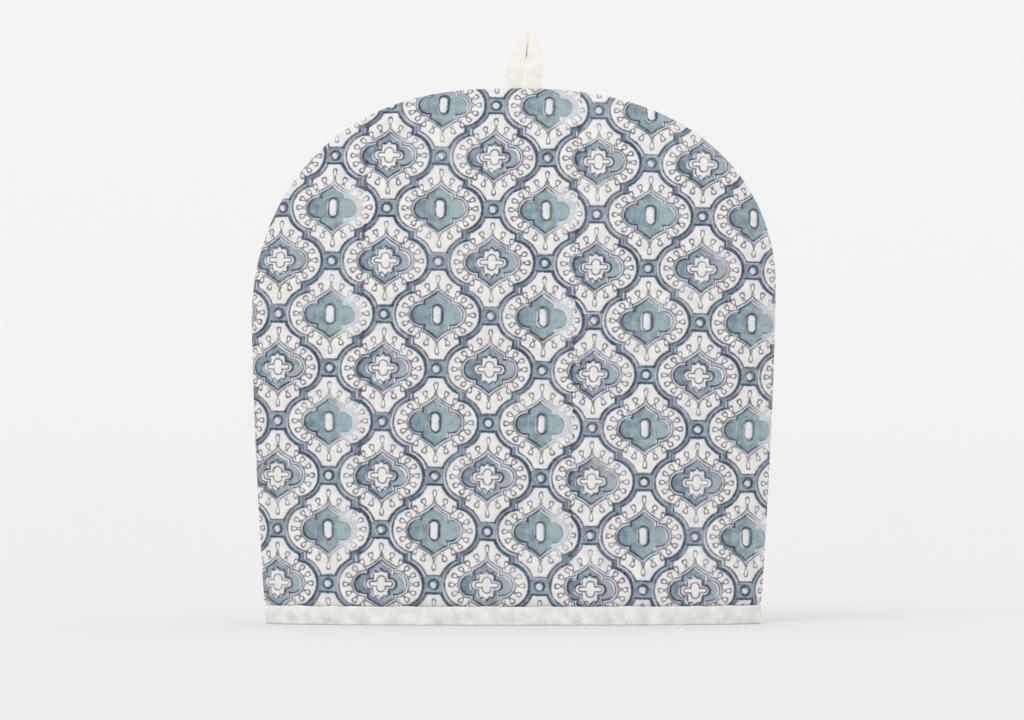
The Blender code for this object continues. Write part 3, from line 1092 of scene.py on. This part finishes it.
@dataclass(frozen=True)
class PlainCotton:
    """Finish of plain white cotton: the binding, the loop or the inner cloth."""

    name: str
    light: tuple[float, ...]
    shade: tuple[float, ...]
    thread: float = 0.6
    mottle: float = 9.0
    relief: float = 0.6
    # Strength of the print showing through the binding and of the painted shade towards its foot.
    ghost_and_foot_shade: float = 0.0
    foot_grey_top: float = 10.0
    foot_grey_reach: float = 7.0
    ghost_and_shade_ink: tuple[float, ...] = srgb(184, 188, 191)
    roughness: float = 0.9

    def material(self) -> bpy.types.Material:
        """The finished material."""
        bench = Bench(self.name)
        x, z, vector = bench.place()
        mottled = bench.patchy(vector, self.mottle, 0.32, 0.68, detail=3.0)
        colour = bench.mix(mottled, self.light, self.shade)
        if self.ghost_and_foot_shade:
            colour = self.print_through_and_foot_shade(bench, colour, x, z, mottled)
        bench.feed(bench.shader.inputs["Base Color"], colour)
        bench.bump(bench.weave(vector, self.thread), 0.0002, self.relief)
        bench.shader.inputs["Roughness"].default_value = self.roughness
        bench.shader.inputs["Specular IOR Level"].default_value = 0.25
        bench.shader.inputs["Sheen Weight"].default_value = 0.15
        bench.shader.inputs["Sheen Roughness"].default_value = 0.5
        return bench.material

    def print_through_and_foot_shade(
        self, bench: Bench, colour: bpy.types.NodeSocket, x: Value, z: Value, mottled: Value
    ) -> bpy.types.NodeSocket:
        """The print faintly showing through the cloth, with painted shade: an even grey that grows towards the
        band's foot, print or not.
        """
        pattern = BlockPrint()
        line_x, line_z = pattern.set_down(x, z)
        star_edge, oval_edge, is_star, cell_x, cell_z = pattern.folded(bench, line_x, line_z)
        border = star_edge.least(oval_edge)
        medallion = pattern.medallion(bench, cell_x, cell_z)
        under = covered(0.0 - border, 4.0).most(covered(medallion, 3.2))
        # Painted shade: this grey grows from nothing near the band's top to full strength near its foot. The 0.4
        # in the mix lays it even where no print lies under the cloth; the rest is print showing through.
        low = ((self.foot_grey_top - z) * (1 / self.foot_grey_reach)).held()
        return bench.mix((under * 0.6 + 0.4) * mottled * low * self.ghost_and_foot_shade, colour, self.ghost_and_shade_ink)


@dataclass
class Studio:
    """Plain pale floor that rises far off on every side, soft light and the camera."""

    floor_flat: float = 6.5
    floor_end: float = 16.0
    floor_rise: float = 6.0
    floor_rings: int = 40
    floor_spokes: int = 96
    floor_colour: tuple[float, ...] = srgb(236, 236, 235)
    sky: tuple[float, ...] = srgb(249, 249, 249)
    sky_strength: float = 0.995
    sun_strength: float = 0.62
    sun_softness: float = 35.0
    camera_distance: float = 6.0
    camera_height: float = 151 * MM
    camera_shift: float = -1.0 * MM
    view_width: float = 586.5 * MM
    sensor: float = 36.0

    def set_up(self) -> None:
        """Make the floor, the light and the camera."""
        bpy.context.scene.view_settings.view_transform = "Standard"
        self.make_floor()
        self.make_light()
        self.make_camera()

    def make_floor(self) -> None:
        """A round floor, level round the cosy and curving up a long way out."""
        bm = bmesh.new()
        bmesh.ops.create_grid(bm, x_segments=self.floor_spokes, y_segments=self.floor_rings, size=0.5)
        for vert in bm.verts:
            turn = (vert.co.x + 0.5) * 2 * math.pi
            out = (vert.co.y + 0.5) * self.floor_end
            lift = max(out - self.floor_flat, 0) / (self.floor_end - self.floor_flat)
            vert.co = (out * math.cos(turn), out * math.sin(turn), self.floor_rise * lift ** 2)
        bmesh.ops.remove_doubles(bm, verts=bm.verts, dist=MM)
        mesh = bpy.data.meshes.new("floor")
        bm.to_mesh(mesh)
        bm.free()
        mesh.shade_smooth()
        floor = bpy.data.objects.new("floor", mesh)
        bpy.context.scene.collection.objects.link(floor)
        bench = Bench("pale_floor")
        bench.shader.inputs["Base Color"].default_value = self.floor_colour
        bench.shader.inputs["Roughness"].default_value = 0.95
        bench.shader.inputs["Specular IOR Level"].default_value = 0.1
        mesh.materials.append(bench.material)

    def make_light(self) -> None:
        """Even light from all round, and one very soft lamp from the upper left."""
        world = bpy.data.worlds.new("studio_sky")
        bpy.context.scene.world = world
        world.use_nodes = True
        background = world.node_tree.nodes["Background"]
        background.inputs["Color"].default_value = self.sky
        background.inputs["Strength"].default_value = self.sky_strength
        lamp = bpy.data.lights.new("soft_lamp", "SUN")
        lamp.energy = self.sun_strength
        lamp.angle = math.radians(self.sun_softness)
        item = bpy.data.objects.new("soft_lamp", lamp)
        item.rotation_euler = Vector((0.35, 0.8, -0.55)).to_track_quat("-Z", "Y").to_euler()
        bpy.context.scene.collection.objects.link(item)

    def make_camera(self) -> None:
        """A level camera in front of the cosy, framed as the photograph is."""
        camera = bpy.data.cameras.new("camera")
        camera.lens = self.sensor * self.camera_distance / self.view_width
        camera.sensor_width = self.sensor
        item = bpy.data.objects.new("camera", camera)
        item.location = (self.camera_shift, -self.camera_distance, self.camera_height)
        item.rotation_euler = (math.pi / 2, 0, 0)
        bpy.context.scene.collection.objects.link(item)
        bpy.context.scene.camera = item


def dress(piece: bpy.types.Object, materials: Sequence[bpy.types.Material]) -> None:
    """Give a piece its materials: the outer cloth first, then the inner one."""
    for material in materials:
        piece.data.materials.append(material)


def main() -> None:
    """Build every piece of the cosy and its studio, in order."""
    logging.basicConfig(level=logging.INFO, format="%(name)s: %(message)s")
    form = CosyForm()
    Studio().set_up()
    printed = PrintedCotton().material()
    lining = PlainCotton("inner_cotton", srgb(236, 234, 228), srgb(226, 224, 217)).material()
    # The binding's grey towards its foot is partly print showing through and partly painted shade.
    binding = PlainCotton(
        "white_binding", srgb(240, 239, 233), srgb(229, 228, 223), mottle=7.0, ghost_and_foot_shade=0.5
    ).material()
    strap = PlainCotton("white_strap", srgb(249, 245, 238), srgb(243, 239, 231), mottle=6.0).material()

    front = PrintedPanel(
        form,
        Side.FRONT,
        dents=(
            Dent(-92 * MM, 85 * MM, 34 * MM, 62 * MM, 1.6 * MM),
            Dent(104 * MM, 51 * MM, 26 * MM, 40 * MM, 1.5 * MM),
            Dent(28 * MM, 194 * MM, 60 * MM, 34 * MM, -1.2 * MM),
            Dent(58 * MM, 117 * MM, 22 * MM, 70 * MM, 1.1 * MM),
            Dent(-36 * MM, 41 * MM, 44 * MM, 24 * MM, -1.1 * MM),
        ),
        creases=(
            Crease((0.133, 0.02), (0.131, 0.15), 1.6 * MM, 0.35 * MM),
            Crease((0.016, 0.15), (0.018, 0.26), 1.4 * MM, 0.25 * MM),
            Crease((-0.11, 0.17), (-0.07, 0.24), 4.0 * MM, 0.5 * MM),
        ),
        phase=0.0,
    )
    back = PrintedPanel(
        form,
        Side.BACK,
        dents=(
            Dent(-70 * MM, 63 * MM, 40 * MM, 46 * MM, 1.5 * MM),
            Dent(84 * MM, 126 * MM, 28 * MM, 70 * MM, 1.4 * MM),
            Dent(-10 * MM, 188 * MM, 70 * MM, 36 * MM, -1.2 * MM),
            Dent(20 * MM, 69 * MM, 34 * MM, 60 * MM, 1.0 * MM),
        ),
        creases=(
            Crease((-0.1, 0.03), (-0.09, 0.14), 2.0 * MM, 0.4 * MM),
            Crease((0.06, 0.2), (0.1, 0.25), 4.0 * MM, 0.45 * MM),
        ),
        phase=1.7,
        cut_shift=(18 * MM, -21 * MM),
    )
    for panel in (front, back):
        node = panel.name().removeprefix("cosy_")
        piece = cloth_piece(panel.name(), panel.build(), node)
        dress(piece, (printed, lining))
        log.info("%s: %d faces, %.4f m2", piece.name, len(piece.data.polygons), mesh_area(piece.data) / 2)

    band = HemBand(form)
    piece = cloth_piece("cosy_hem_band", band.build(), "hem_band")
    dress(piece, (binding, binding))
    log.info("%s: %d faces, %.4f m2", piece.name, len(piece.data.polygons), mesh_area(piece.data) / 2)

    loop = HangingLoop(form)
    piece = cloth_piece("cosy_hanging_loop", loop.build(), "hanging_loop")
    dress(piece, (strap, strap))
    log.info("%s: %d faces, %.5f m2", piece.name, len(piece.data.polygons), mesh_area(piece.data) / 2)


if __name__ == "__main__":
    main()
